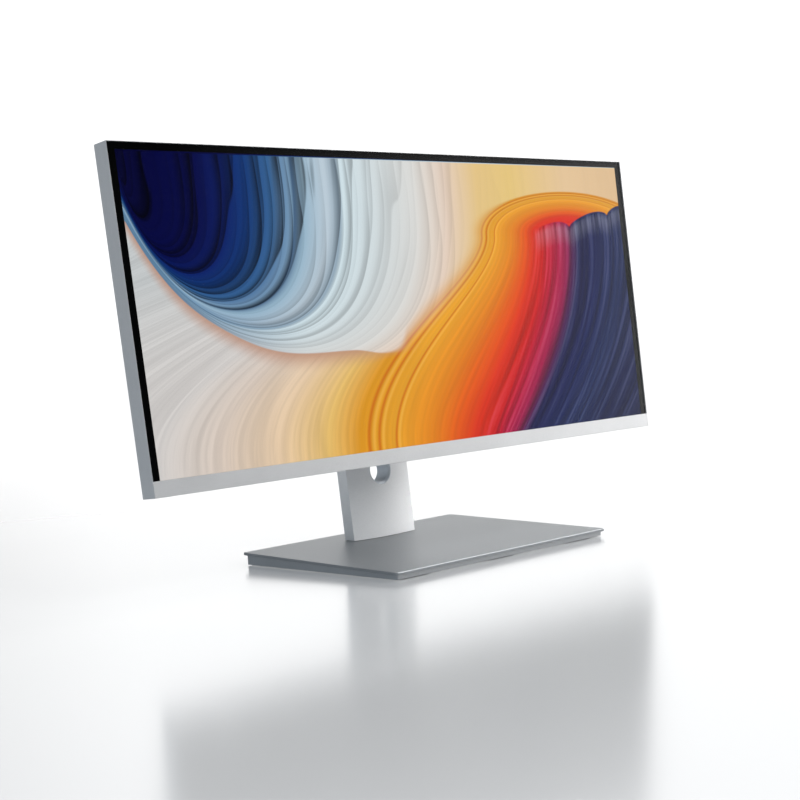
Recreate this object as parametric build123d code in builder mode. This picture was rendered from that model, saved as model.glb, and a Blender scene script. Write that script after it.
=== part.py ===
from build123d import *

import os
from math import atan, cos, radians, sin

# Wide desk monitor on a height-adjusting stand, in millimetres.
# Origin: centre of the foot print, on the desk. +X right, +Y back, +Z up; the screen faces -Y.

# ---------------------------------------------------------------- driving dimensions
panel_width = 817.0
panel_height = 356.0
panel_depth = 21.6
panel_lean = 4.87            # degrees back from upright
panel_front_y = -29.9        # bottom edge of the front face
panel_bottom_z = 114.3
chin_height = 16.9
side_border = 10.2
top_border = 7.8

base_width = 356.0
base_depth = 264.0
base_front_height = 9.3
base_back_height = 15.8
plate_thickness = 3.2
plate_overhang = 3.2
feet_height = 1.0

column_width = 103.3
column_side_depth = 16.5
column_bulge = 6.0           # how far the front face swells at the middle
column_lean = 4.55           # degrees back from upright
column_front_y = 72.5        # front corners, where they meet the base
column_length = 404.0
cable_hole_height = 82.3     # along the column
cable_hole_radius = 15.0
slide_down = 50.0
slide_up = 80.0

# ---------------------------------------------------------------- smaller sizes
gap = 0.1                    # between pieces that are fixed side by side
frame_wall = 1.2
frame_lip = 0.35             # of the frame, round the edges of the glass and the chin
front_layer = 2.2            # deep: the glass with its border print, and the chin
column_wall = 1.8
tray_floor = 1.4
tray_wall = 2.4
hinge_height = 180.0         # up the panel, also the centre of the rear mounting holes
hinge_depth = 70.0           # behind the front face
hinge_pin_radius = 5.0
shaft_radius = 6.5
swivel_clearance = 0.5       # between the column's foot and the base plate
vesa_spacing = 100.0
vesa_thread_radius = 2.0
bulge_depth = 24.0           # of the rear housing, behind the flat back
joystick_x = 330.0
power_x = 362.0
control_height = 32.0
pocket_ceiling = 92.0        # height of the port recess, up the panel

# ---------------------------------------------------------------- planes
right = Vector(1, 0, 0)
panel_back = Vector(0, cos(radians(panel_lean)), -sin(radians(panel_lean)))
panel_up = Vector(0, sin(radians(panel_lean)), cos(radians(panel_lean)))
panel_origin = Vector(0, panel_front_y, panel_bottom_z)

column_back = Vector(0, cos(radians(column_lean)), -sin(radians(column_lean)))
column_up = Vector(0, sin(radians(column_lean)), cos(radians(column_lean)))

base_slope = atan((base_back_height - base_front_height) / base_depth)
base_normal = Vector(0, -sin(base_slope), cos(base_slope))


def plate_top(y):
    """Height of the base plate's sloping top at this depth."""
    return base_front_height + (y + base_depth / 2) * (base_back_height - base_front_height) / base_depth


column_origin = Vector(0, column_front_y, plate_top(column_front_y))
swivel_y = column_front_y + 6.5
swivel_point = Vector(0, swivel_y, plate_top(swivel_y))


def panel_plane(depth):
    """Parallel to the screen, this far behind its front face: x right, y up the panel."""
    return Plane(origin=panel_origin + panel_back * depth, x_dir=right, z_dir=-panel_back)


def panel_side(x):
    """Upright plane across the panel: x towards the back, y up the panel."""
    return Plane(origin=panel_origin + right * x, x_dir=panel_back, z_dir=right)


def panel_level(height):
    """Square to the panel's height, this far up it: x right, y towards the back."""
    return Plane(origin=panel_origin + panel_up * height, x_dir=right, z_dir=panel_up)


def base_plane(drop):
    """Parallel to the base plate's top, this far straight below it."""
    return Plane(origin=(0, 0, plate_top(0) - drop), x_dir=right, z_dir=base_normal)


def swivel_plane(drop):
    """Square to the swivel shaft, this far below the plate's top."""
    return Plane(origin=swivel_point - base_normal * drop, x_dir=right, z_dir=base_normal)


def column_plane(height):
    """Square to the column, this far up it: x right, y towards the back."""
    return Plane(origin=column_origin + column_up * height, x_dir=right, z_dir=column_up)


def column_face(depth):
    """Along the column, this far behind its front corners: x right, y up the column."""
    return Plane(origin=column_origin + column_back * depth, x_dir=right, z_dir=-column_back)


def column_side(x):
    """Upright plane across the column: x towards the back, y up the column."""
    return Plane(origin=column_origin + right * x, x_dir=column_back, z_dir=right)


foot_plane = swivel_plane(-swivel_clearance)
hinge_point = panel_origin + panel_up * hinge_height + panel_back * hinge_depth
hinge_offset = hinge_point - column_origin
hinge_v = hinge_offset.dot(column_back)      # hinge pin, measured back from the column's front corners
hinge_w = hinge_offset.dot(column_up)        # hinge pin, measured up the column


# ---------------------------------------------------------------- helpers
def span(x_low, x_high, y_low, y_high):
    """Rectangle between these limits, in the sketch being drawn."""
    with Locations(((x_low + x_high) / 2, (y_low + y_high) / 2)):
        Rectangle(x_high - x_low, y_high - y_low)


def save(piece, name):
    """Label a finished piece and write it as one STEP file."""
    piece.part.label = name
    export_step(piece.part, f"parts/{name}.step")


def column_outline(inset):
    """The column's section: a shallow arc in front, square sides and a flat back."""
    half = column_width / 2
    with BuildSketch() as outline:
        with BuildLine():
            ThreePointArc((-half, 0), (0, -column_bulge), (half, 0))
            Polyline((half, 0), (half, column_side_depth), (-half, column_side_depth), (-half, 0))
        make_face()
        if inset > 0:
            offset(amount=-inset, kind=Kind.INTERSECTION)
    return outline.sketch


os.makedirs("parts", exist_ok=True)

# ================================================================ base
tray_width = base_width - 2 * plate_overhang
tray_depth = base_depth - 2 * plate_overhang
tray_floor_top = feet_height + tray_floor
screw_spots = [(x, y) for x in (-150, -55, 55, 150) for y in (-110, 110)]
bearing_radius = 34.0
bearing_thickness = 2.5
bushing_radius = 8.0

with BuildPart() as base_top_plate:
    with BuildSketch(base_plane(0)):
        RectangleRounded(base_width, base_depth / cos(base_slope), 3)
    extrude(amount=plate_thickness, dir=(0, 0, -1))
    top_edges = base_top_plate.faces().sort_by(Axis.Z)[-1].edges()
    chamfer(top_edges, 0.5)
    with BuildSketch(swivel_plane(-1)):
        Circle(bushing_radius + 0.05)
    extrude(amount=-6, mode=Mode.SUBTRACT)
    with BuildSketch(Plane.XY):
        with Locations(*screw_spots):
            Circle(1.55)
    screw_holes = extrude(amount=30, mode=Mode.PRIVATE)
    with BuildSketch(base_plane(1.0)):
        Rectangle(base_width, base_depth * 1.1)
    skin = extrude(amount=20, mode=Mode.PRIVATE)
    add(screw_holes - skin, mode=Mode.SUBTRACT)
save(base_top_plate, "base_top_plate")

with BuildPart() as base_tray:
    with BuildSketch(Plane.XY.offset(feet_height)):
        RectangleRounded(tray_width, tray_depth, 2)
    extrude(amount=base_back_height)
    with BuildSketch(Plane.XY.offset(tray_floor_top)):
        RectangleRounded(tray_width - 2 * tray_wall, tray_depth - 2 * tray_wall, 1)
    extrude(amount=base_back_height, mode=Mode.SUBTRACT)
    with BuildSketch(Plane.XY.offset(feet_height)):
        with Locations(*screw_spots):
            Circle(5)
    extrude(amount=base_back_height)
    split(bisect_by=base_plane(plate_thickness), keep=Keep.BOTTOM)
    with Locations(*[Location((x, y, feet_height), (180, 0, 0)) for x, y in screw_spots]):
        CounterSinkHole(radius=1.7, counter_sink_radius=3.2, depth=30)
save(base_tray, "base_tray")

with BuildPart() as ballast_plate:
    with BuildSketch(Plane.XY.offset(tray_floor_top)):
        RectangleRounded(328, 236, 6)
        with Locations(*screw_spots):
            Circle(7, mode=Mode.SUBTRACT)
        with Locations((0, swivel_y)):
            Circle(bearing_radius + 6, mode=Mode.SUBTRACT)
    extrude(amount=3.0)
save(ballast_plate, "ballast_plate")

with BuildPart() as rubber_feet:
    with BuildSketch(Plane.XY):
        with Locations((-140, -118), (140, -118), (-140, 118), (140, 118), (0, -118)):
            SlotOverall(44, 9)
    extrude(amount=feet_height)
save(rubber_feet, "rubber_feet")

with BuildPart() as base_screws:
    with BuildSketch(Plane.XY.offset(feet_height + 0.2)):
        with Locations(*screw_spots):
            Circle(2.9)
    extrude(amount=1.5, taper=42)
    for x, y in screw_spots:
        with BuildSketch(Plane.XY.offset(feet_height + 1.5)):
            with Locations((x, y)):
                Circle(1.5)
        extrude(amount=plate_top(y) - 1.4 - feet_height - 1.5)
    with BuildSketch(Plane.XY.offset(feet_height + 0.2)):
        with Locations(*screw_spots):
            RegularPolygon(1.1, 6)
    extrude(amount=1.2, mode=Mode.SUBTRACT)
save(base_screws, "base_screws")

with BuildPart() as swivel_bearing_plate:
    with BuildSketch(swivel_plane(plate_thickness)):
        Circle(bearing_radius)
        Circle(bushing_radius + 0.05, mode=Mode.SUBTRACT)
    extrude(amount=-bearing_thickness)
save(swivel_bearing_plate, "swivel_bearing_plate")

with BuildPart() as swivel_bushing:
    with BuildSketch(swivel_plane(-0.4)):
        Circle(bushing_radius)
        Circle(shaft_radius + 0.05, mode=Mode.SUBTRACT)
    extrude(amount=-(plate_thickness + bearing_thickness + 0.4))
save(swivel_bushing, "swivel_bushing")

# ================================================================ column
foot_height = 24.0
rail_half = 46.0
rail_back = 14.2
rail_sheet = 2.0
rail_bottom = 10.0
rail_top = 396.0
spring_x = 34.0
spring_depth = 5.0
back_opening = 49.5
rail_screw_spots = [(-24, 15), (24, 15), (-36, 15), (36, 15)]
arm_half_width = 19.5
slot_low = hinge_w - slide_down - 25
slot_high = hinge_w + slide_up + 25


def column_prism(inset, low, high):
    """The column's section drawn out along it between two heights."""
    with BuildPart() as prism:
        with BuildSketch(column_plane(low)):
            add(column_outline(inset))
        extrude(amount=high - low)
    return prism.part


with BuildPart() as column_cover:
    add(column_prism(0, -6, column_length))
    add(column_prism(column_wall, -7, column_length + 1), mode=Mode.SUBTRACT)
    with BuildSketch(column_plane(-7)):
        span(-back_opening, back_opening, column_side_depth - 2, column_side_depth + 1)
    extrude(amount=column_length + 8, mode=Mode.SUBTRACT)
    with BuildSketch(column_face(3)):
        span(-24, 24, slot_low, slot_high)
        with Locations((0, cable_hole_height)):
            Circle(cable_hole_radius + 3.05)
    extrude(amount=12, mode=Mode.SUBTRACT)
    split(bisect_by=foot_plane, keep=Keep.TOP)
save(column_cover, "column_cover")

with BuildPart() as column_rear_cover:
    with BuildSketch(column_plane(-6)):
        edge = back_opening - 0.15
        span(-edge, edge, column_side_depth - 1.9, column_side_depth)
    extrude(amount=column_length + 6)
    with BuildSketch(column_face(column_side_depth - 3)):
        with Locations((0, cable_hole_height)):
            Circle(cable_hole_radius + 3.05)
    extrude(amount=-5, mode=Mode.SUBTRACT)
    split(bisect_by=foot_plane, keep=Keep.TOP)
save(column_rear_cover, "column_rear_cover")

with BuildPart() as column_foot:
    add(column_prism(column_wall + 0.2, -6, foot_height))
    with BuildSketch(column_plane(rail_bottom - 1)):
        span(-rail_half - gap, rail_half + gap, rail_back - rail_sheet - gap, column_side_depth)
        span(rail_half - rail_sheet - gap, rail_half + gap, 2 - gap, rail_back)
        span(-rail_half - gap, -rail_half + rail_sheet + gap, 2 - gap, rail_back)
    extrude(amount=foot_height, mode=Mode.SUBTRACT)
    with BuildSketch(swivel_plane(0)):
        Circle(shaft_radius + 0.02)
    extrude(amount=18.5, mode=Mode.SUBTRACT)
    with BuildSketch(column_face(rail_back)):
        with Locations(*rail_screw_spots):
            Circle(1.6)
    extrude(amount=9, mode=Mode.SUBTRACT)
    split(bisect_by=foot_plane, keep=Keep.TOP)
save(column_foot, "column_foot")

with BuildPart() as column_rail:
    with BuildSketch(column_plane(rail_bottom)):
        span(-rail_half, rail_half, rail_back - rail_sheet, rail_back)
        span(rail_half - rail_sheet, rail_half, 2, rail_back)
        span(-rail_half, -rail_half + rail_sheet, 2, rail_back)
    extrude(amount=rail_top - rail_bottom)
    with BuildSketch(column_face(rail_back + 1)):
        with Locations((0, cable_hole_height)):
            Circle(cable_hole_radius + 3.4)
        with Locations(*rail_screw_spots):
            Circle(1.7)
    extrude(amount=4, mode=Mode.SUBTRACT)
save(column_rail, "column_rail")

with BuildPart() as rail_screws:
    with BuildSketch(column_face(rail_back)):
        with Locations(*rail_screw_spots):
            Circle(1.5)
    extrude(amount=8.5)
    with BuildSketch(column_face(rail_back)):
        with Locations(*rail_screw_spots):
            Circle(2.6)
    extrude(amount=-0.35)
save(rail_screws, "rail_screws")

with BuildPart() as column_cap:
    add(column_prism(0, column_length + gap, column_length + 3))
    top_edges = column_cap.faces().sort_by(Axis.Z)[-1].edges()
    fillet(top_edges, 1.0)
    add(column_prism(column_wall + 0.15, rail_top + 1, column_length + gap))
save(column_cap, "column_cap")

with BuildPart() as cable_hole_liner:
    with BuildSketch(column_face(column_side_depth + 1)):
        with Locations((0, cable_hole_height)):
            Circle(cable_hole_radius + 3)
            Circle(cable_hole_radius, mode=Mode.SUBTRACT)
    extrude(amount=column_side_depth + column_bulge + 2)
    add(column_prism(0, 0, column_length), mode=Mode.INTERSECT)
    with BuildSketch(column_face(-column_bulge - 0.2)):
        with Locations((0, cable_hole_height)):
            Circle(cable_hole_radius + 2.6)
    with BuildSketch(column_face(-column_bulge + 3.2)):
        with Locations((0, cable_hole_height)):
            Circle(cable_hole_radius)
    loft(mode=Mode.SUBTRACT)
save(cable_hole_liner, "cable_hole_liner")

with BuildPart() as swivel_shaft:
    with BuildSketch(swivel_plane(-18)):
        Circle(shaft_radius)
    extrude(amount=-29.4)
save(swivel_shaft, "swivel_shaft")

with BuildPart() as swivel_washer:
    with BuildSketch(swivel_plane(plate_thickness + bearing_thickness + 0.1)):
        Circle(16)
        Circle(shaft_radius + 0.05, mode=Mode.SUBTRACT)
    extrude(amount=-1.2)
save(swivel_washer, "swivel_washer")

with BuildPart() as swivel_nut:
    with BuildSketch(swivel_plane(plate_thickness + bearing_thickness + 1.4)):
        RegularPolygon(11, 6)
        Circle(shaft_radius + 0.05, mode=Mode.SUBTRACT)
    extrude(amount=-3.8)
save(swivel_nut, "swivel_nut")

# Two gas springs stand beside the cable hole and carry the weight of the panel.
cylinder_bottom = foot_height + 1
cylinder_top = hinge_w - 35 - slide_down - 3
cylinder_radius = 6.0
cylinder_bore = 4.8
rod_radius = 2.5
piston_low = cylinder_bottom + 4 + slide_down
rod_top = hinge_w - 28

with BuildPart() as gas_spring_cylinders:
    with BuildSketch(column_plane(cylinder_bottom)):
        with Locations((-spring_x, spring_depth), (spring_x, spring_depth)):
            Circle(cylinder_radius)
    extrude(amount=cylinder_top - cylinder_bottom)
    with BuildSketch(column_plane(cylinder_bottom + 2)):
        with Locations((-spring_x, spring_depth), (spring_x, spring_depth)):
            Circle(cylinder_bore)
    extrude(amount=cylinder_top - cylinder_bottom - 6, mode=Mode.SUBTRACT)
    with BuildSketch(column_plane(cylinder_top - 8)):
        with Locations((-spring_x, spring_depth), (spring_x, spring_depth)):
            Circle(rod_radius + 0.06)
    extrude(amount=10, mode=Mode.SUBTRACT)
save(gas_spring_cylinders, "gas_spring_cylinders")

# ================================================================ carriage
carriage_half_width = 42.0
carriage_low = hinge_w - 35
carriage_high = hinge_w + 35
carriage_front = 3.5
carriage_back = 9.5
arm_screw_spots = [(x, hinge_w + dy) for x in (-12, 12) for dy in (-14, 14)]

with BuildPart() as gas_spring_rods:
    with BuildSketch(column_plane(piston_low)):
        with Locations((-spring_x, spring_depth), (spring_x, spring_depth)):
            Circle(rod_radius)
    extrude(amount=rod_top - piston_low)
    with BuildSketch(column_plane(piston_low)):
        with Locations((-spring_x, spring_depth), (spring_x, spring_depth)):
            Circle(cylinder_bore - 0.08)
    extrude(amount=6)
save(gas_spring_rods, "gas_spring_rods")

with BuildPart() as carriage_plate:
    with BuildSketch(column_face(carriage_front)):
        span(-carriage_half_width, carriage_half_width, carriage_low, carriage_high)
    extrude(amount=-(carriage_back - carriage_front))
    with BuildSketch(column_plane(carriage_low)):
        span(-spring_x - 5, -spring_x + 5, 0.5, carriage_back)
        span(spring_x - 5, spring_x + 5, 0.5, carriage_back)
    extrude(amount=12)
    with BuildSketch(column_plane(carriage_low - 1)):
        with Locations((-spring_x, spring_depth), (spring_x, spring_depth)):
            Circle(rod_radius + 0.02)
    extrude(amount=rod_top - carriage_low + 1, mode=Mode.SUBTRACT)
    with BuildSketch(column_face(carriage_back + 1)):
        with Locations(*arm_screw_spots):
            Circle(2.1)
    extrude(amount=12, mode=Mode.SUBTRACT)
save(carriage_plate, "carriage_plate")

with BuildPart() as guide_pads:
    for side in (-1, 1):
        for low in (carriage_low, carriage_high - 18):
            with BuildSketch(column_plane(low)):
                outer = (carriage_half_width + gap, rail_half - rail_sheet - 0.2)
                inner = (carriage_half_width - 8, carriage_half_width + gap)
                span(*sorted((side * outer[0], side * outer[1])), carriage_front, rail_back - rail_sheet - 0.2)
                span(*sorted((side * inner[0], side * inner[1])), carriage_back + gap,
                     rail_back - rail_sheet - 0.2)
            extrude(amount=18)
save(guide_pads, "guide_pads")

with BuildPart() as carriage_arm:
    with BuildSketch(column_side(0)):
        with Locations((hinge_v, hinge_w)):
            Circle(13)
        with Locations((carriage_front - gap - 2, hinge_w)):
            Rectangle(4, 44)
        make_hull()
    extrude(amount=arm_half_width, both=True)
    fillet(carriage_arm.faces().filter_by(Axis.X).edges().filter_by(GeomType.LINE), 1.5)
    with BuildSketch(column_side(0)):
        with Locations((hinge_v, hinge_w)):
            Circle(hinge_pin_radius + 0.05)
    extrude(amount=40, both=True, mode=Mode.SUBTRACT)
    with BuildSketch(column_face(carriage_front + 1)):
        with Locations(*arm_screw_spots):
            Circle(2.05)
    extrude(amount=13, mode=Mode.SUBTRACT)
save(carriage_arm, "carriage_arm")

with BuildPart() as arm_screws:
    with BuildSketch(column_face(carriage_back + gap)):
        with Locations(*arm_screw_spots):
            Circle(2.0)
    extrude(amount=17)
    with BuildSketch(column_face(carriage_back + gap)):
        with Locations(*arm_screw_spots):
            Circle(3.6)
    extrude(amount=-2.0)
    with BuildSketch(column_face(carriage_back + gap + 2.0)):
        with Locations(*arm_screw_spots):
            RegularPolygon(1.6, 6)
    extrude(amount=1.4, mode=Mode.SUBTRACT)
save(arm_screws, "arm_screws")

# ================================================================ tilt hinge, on the head
bulge_back = panel_depth + bulge_depth
bracket_thickness = 4.0
bracket_half = 38.0
ear_inner = 20.4
ear_thickness = 6.0
bracket_screw_spots = [(x, hinge_height + dy) for x in (-31, 31) for dy in (-31, 31)]

with BuildPart() as tilt_bracket:
    with BuildSketch(panel_plane(bulge_back + gap)):
        with Locations((0, hinge_height)):
            RectangleRounded(2 * bracket_half, 2 * bracket_half, 6)
        with Locations(*bracket_screw_spots):
            Circle(2.1, mode=Mode.SUBTRACT)
    extrude(amount=-bracket_thickness)
    for x in (-ear_inner - ear_thickness, ear_inner):
        with BuildSketch(panel_side(x)):
            with Locations((hinge_depth, hinge_height)):
                Circle(11)
            with Locations((bulge_back + 2, hinge_height)):
                Rectangle(3, 46)
            make_hull()
        extrude(amount=ear_thickness)
    with BuildSketch(panel_side(-40)):
        with Locations((hinge_depth, hinge_height)):
            Circle(hinge_pin_radius + 0.02)
    extrude(amount=80, mode=Mode.SUBTRACT)
save(tilt_bracket, "tilt_bracket")

with BuildPart() as tilt_pin:
    with BuildSketch(panel_side(-ear_inner - ear_thickness - 4)):
        with Locations((hinge_depth, hinge_height)):
            Circle(hinge_pin_radius)
    extrude(amount=2 * (ear_inner + ear_thickness) + 9)
    with BuildSketch(panel_side(-ear_inner - ear_thickness - 4)):
        with Locations((hinge_depth, hinge_height)):
            Circle(8.5)
    extrude(amount=3.9)
save(tilt_pin, "tilt_pin")

with BuildPart() as tilt_nut:
    with BuildSketch(panel_side(ear_inner + ear_thickness + gap)):
        with Locations((hinge_depth, hinge_height)):
            RegularPolygon(9.5, 6)
            Circle(hinge_pin_radius + 0.02, mode=Mode.SUBTRACT)
    extrude(amount=4.2)
save(tilt_nut, "tilt_nut")

with BuildPart() as tilt_friction_discs:
    for x in (-ear_inner, ear_inner - 0.8):
        with BuildSketch(panel_side(x)):
            with Locations((hinge_depth, hinge_height)):
                Circle(10.5)
                Circle(hinge_pin_radius + 0.03, mode=Mode.SUBTRACT)
        extrude(amount=0.8)
save(tilt_friction_discs, "tilt_friction_discs")

with BuildPart() as bracket_screws:
    with BuildSketch(panel_plane(bulge_back + bracket_thickness + 2 * gap)):
        with Locations(*bracket_screw_spots):
            Circle(1.95)
    extrude(amount=11)
    with BuildSketch(panel_plane(bulge_back + bracket_thickness + 2 * gap)):
        with Locations(*bracket_screw_spots):
            Circle(3.6)
    extrude(amount=-2.2)
    with BuildSketch(panel_plane(bulge_back + bracket_thickness + 2 * gap + 2.2)):
        with Locations(*bracket_screw_spots):
            RegularPolygon(1.6, 6)
    extrude(amount=1.5, mode=Mode.SUBTRACT)
save(bracket_screws, "bracket_screws")

# ================================================================ panel: outer frame, glass and light
half_width = panel_width / 2
window_half = half_width - side_border
lip_half = half_width - frame_lip
glass_half = lip_half - gap
glass_low = chin_height + gap
glass_high = panel_height - frame_lip - gap
glass_thickness = 1.8
mask_thickness = 0.3
window_high = panel_height - top_border
speaker_x = 295.0
speaker_slots = [side * (speaker_x + step) for side in (-1, 1) for step in range(-40, 41, 8)]
lamp_x = 392.0

with BuildPart() as side_frame:
    with BuildSketch(panel_plane(0)):
        span(-half_width, half_width, 0, panel_height)
    extrude(amount=-panel_depth)
    front_edges = side_frame.faces().sort_by(Axis.Y)[0].edges()
    chamfer(front_edges, 0.15)
    with BuildSketch(panel_plane(-1)):
        span(-lip_half, lip_half, frame_lip, panel_height - frame_lip)
    extrude(amount=-front_layer - 1, mode=Mode.SUBTRACT)
    with BuildSketch(panel_plane(-1)):
        inner = half_width - frame_wall
        span(-inner, inner, frame_wall, panel_height - frame_wall)
    extrude(amount=-panel_depth - 2, mode=Mode.SUBTRACT)
    with BuildSketch(panel_level(-1)):
        with Locations(*[(x, 15) for x in speaker_slots]):
            SlotOverall(7, 1.6, rotation=90)
        with Locations((lamp_x, 12)):
            Circle(1.3)
    extrude(amount=3, mode=Mode.SUBTRACT)
save(side_frame, "side_frame")

with BuildPart() as chin_trim:
    with BuildSketch(panel_plane(0)):
        span(-glass_half, glass_half, frame_lip + gap, chin_height)
    extrude(amount=-2.1)
save(chin_trim, "chin_trim")

with BuildPart() as front_glass:
    with BuildSketch(panel_plane(0.05)):
        span(-glass_half, glass_half, glass_low, glass_high)
    extrude(amount=-glass_thickness)
save(front_glass, "front_glass")

mask_front = glass_thickness + 0.05
with BuildPart() as border_mask:
    with BuildSketch(panel_plane(mask_front)):
        span(-glass_half, glass_half, glass_low, glass_high)
    extrude(amount=-mask_thickness)
    with BuildSketch(panel_plane(mask_front - 1)):
        span(-window_half, window_half, glass_low - 1, window_high)
    extrude(amount=-3, mode=Mode.SUBTRACT)
save(border_mask, "border_mask")

sheet_half = 401.0
with BuildPart() as lcd_cell:
    with BuildSketch(panel_plane(2.25)):
        span(-sheet_half, sheet_half, 10, 351)
    extrude(amount=-1.45)
save(lcd_cell, "lcd_cell")

with BuildPart() as diffuser_films:
    with BuildSketch(panel_plane(3.8)):
        span(-sheet_half, sheet_half, 14, 351)
    extrude(amount=-0.9)
save(diffuser_films, "diffuser_films")

with BuildPart() as light_guide:
    with BuildSketch(panel_plane(4.8)):
        span(-sheet_half, sheet_half, 14, 351)
    extrude(amount=-3.0)
save(light_guide, "light_guide")

with BuildPart() as reflector_sheet:
    with BuildSketch(panel_plane(7.9)):
        span(-sheet_half, sheet_half, 14, 351)
    extrude(amount=-0.4)
save(reflector_sheet, "reflector_sheet")

led_count = 60
led_pitch = 13.2
with BuildPart() as led_strip:
    with BuildSketch(panel_plane(4.4)):
        span(-sheet_half, sheet_half, 9.4, 10.6)
    extrude(amount=-3.8)
    with BuildSketch(panel_plane(5.0)):
        with Locations((0, 12)):
            with GridLocations(led_pitch, 1, led_count, 1):
                Rectangle(6, 2.8)
    extrude(amount=-2.4)
save(led_strip, "led_strip")

chassis_back = 9.5
cover_screw_spots = [(x, y) for x in (-385, -215, 0, 215, 385) for y in (22, 334)]
with BuildPart() as panel_chassis:
    with BuildSketch(panel_plane(2.25)):
        span(-405, 405, 8, 353)
    extrude(amount=-(chassis_back - 2.25))
    with BuildSketch(panel_plane(2)):
        span(-404, 404, 9, 352)
    extrude(amount=-(chassis_back - 1 - 2), mode=Mode.SUBTRACT)
    with BuildSketch(panel_plane(chassis_back + 1)):
        with Locations(*cover_screw_spots):
            Circle(1.6)
    extrude(amount=3, mode=Mode.SUBTRACT)
save(panel_chassis, "panel_chassis")

# ================================================================ rear cover
cover_wall = 1.8
bulge_base = (430.0, 236.0)
bulge_top = (390.0, 196.0)
pocket_half = 100.0
pocket_front = 26.0
port_wall = 2.0
cover_front = panel_depth - cover_wall

# Sockets stand side by side on the main board and look down into the port recess.
# name: (how many, centre x of each, width, height, tongue width, tongue height)
socket_face = pocket_ceiling + 0.2
socket_board = 31.2
socket_table = {
    "hdmi_sockets": ((-56, -32), 15.0, 5.8, 11.5, 1.6),
    "displayport_socket": ((-6,), 16.6, 6.0, 12.5, 1.8),
    "usb_c_socket": ((18,), 9.4, 3.6, 6.6, 0.9),
    "usb_a_sockets": ((40, 60), 14.4, 7.2, 11.6, 2.6),
}
dc_jack_x = -84.0
audio_jack_x = 82.0


def bulge_loft(shrink, front, back):
    """The raised middle of the rear cover, smaller by shrink at each side."""
    with BuildPart() as bulge:
        with BuildSketch(panel_plane(front)):
            with Locations((0, hinge_height)):
                RectangleRounded(bulge_base[0] - 2 * shrink, bulge_base[1] - 2 * shrink, 30)
        with BuildSketch(panel_plane(back)):
            with Locations((0, hinge_height)):
                RectangleRounded(bulge_top[0] - 2 * shrink, bulge_top[1] - 2 * shrink, 24)
        loft()
    return bulge.part


with BuildPart() as housing_space:
    add(bulge_loft(1.6, cover_front - 0.1, bulge_back - 2))
    with BuildSketch(panel_plane(pocket_front - port_wall)):
        wall = pocket_half + port_wall
        span(-wall, wall, 40, pocket_ceiling + port_wall)
    extrude(amount=-40, mode=Mode.SUBTRACT)

with BuildPart() as rear_cover:
    with BuildSketch(panel_plane(cover_front)):
        edge = half_width - frame_wall - 0.15
        span(-edge, edge, frame_wall + 0.15, panel_height - frame_wall - 0.15)
    extrude(amount=-cover_wall)
    add(bulge_loft(0, panel_depth, bulge_back))
    add(housing_space.part, mode=Mode.SUBTRACT)
    with BuildSketch(panel_plane(pocket_front)):
        span(-pocket_half, pocket_half, 40, pocket_ceiling)
    extrude(amount=-40, mode=Mode.SUBTRACT)
    with BuildSketch(panel_level(pocket_ceiling - 1)):
        for spots, width, height, _, _ in socket_table.values():
            with Locations(*[(x, socket_board + height / 2) for x in spots]):
                Rectangle(width + 0.4, height + 0.4)
        with Locations((dc_jack_x, socket_board + 4.8)):
            Rectangle(11.4, 10.0)
        with Locations((audio_jack_x, socket_board + 3)):
            Rectangle(8.4, 6.4)
    extrude(amount=4, mode=Mode.SUBTRACT)
    with BuildSketch(panel_plane(cover_front - 2)):
        with Locations((0, hinge_height + 106)):
            with GridLocations(7.5, 1, 41, 1):
                SlotOverall(12, 2.4, rotation=90)
    extrude(amount=-40, mode=Mode.SUBTRACT)
    with BuildSketch(panel_plane(bulge_back + 1)):
        with Locations((0, hinge_height)):
            with GridLocations(vesa_spacing, vesa_spacing, 2, 2):
                Circle(5.0)
        with Locations(*bracket_screw_spots):
            Circle(2.3)
    extrude(amount=5, mode=Mode.SUBTRACT)
    with BuildSketch(panel_plane(chassis_back + gap)):
        with Locations(*cover_screw_spots):
            Circle(4)
    extrude(amount=-(cover_front - chassis_back))
    with BuildSketch(panel_plane(chassis_back - 1)):
        with Locations(*cover_screw_spots):
            Circle(1.7)
    extrude(amount=-20, mode=Mode.SUBTRACT)
    with BuildSketch(panel_plane(panel_depth - 1.0)):
        with Locations(*cover_screw_spots):
            Circle(3.3)
    extrude(amount=-2, mode=Mode.SUBTRACT)
    with BuildSketch(panel_plane(cover_front - 1)):
        with Locations((joystick_x, control_height)):
            Circle(8.5)
        with Locations((power_x, control_height)):
            Circle(4.3)
        with Locations((-joystick_x, control_height)):
            SlotOverall(11, 5)
    extrude(amount=-4, mode=Mode.SUBTRACT)
save(rear_cover, "rear_cover")

with BuildPart() as cover_screws:
    with BuildSketch(panel_plane(panel_depth - 0.95)):
        with Locations(*cover_screw_spots):
            Circle(3.0)
    extrude(amount=-0.9)
    with BuildSketch(panel_plane(chassis_back - 0.6)):
        with Locations(*cover_screw_spots):
            Circle(1.5)
    extrude(amount=-(panel_depth - 0.95 - chassis_back + 0.6))
    with BuildSketch(panel_plane(panel_depth)):
        with Locations(*cover_screw_spots):
            RegularPolygon(1.2, 6)
    extrude(amount=1.4, mode=Mode.SUBTRACT)
save(cover_screws, "cover_screws")

# ================================================================ inside the head
hat_half = 118.0
hat_sheet = 2.0
hat_top = bulge_back - 2 - 0.1

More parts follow.
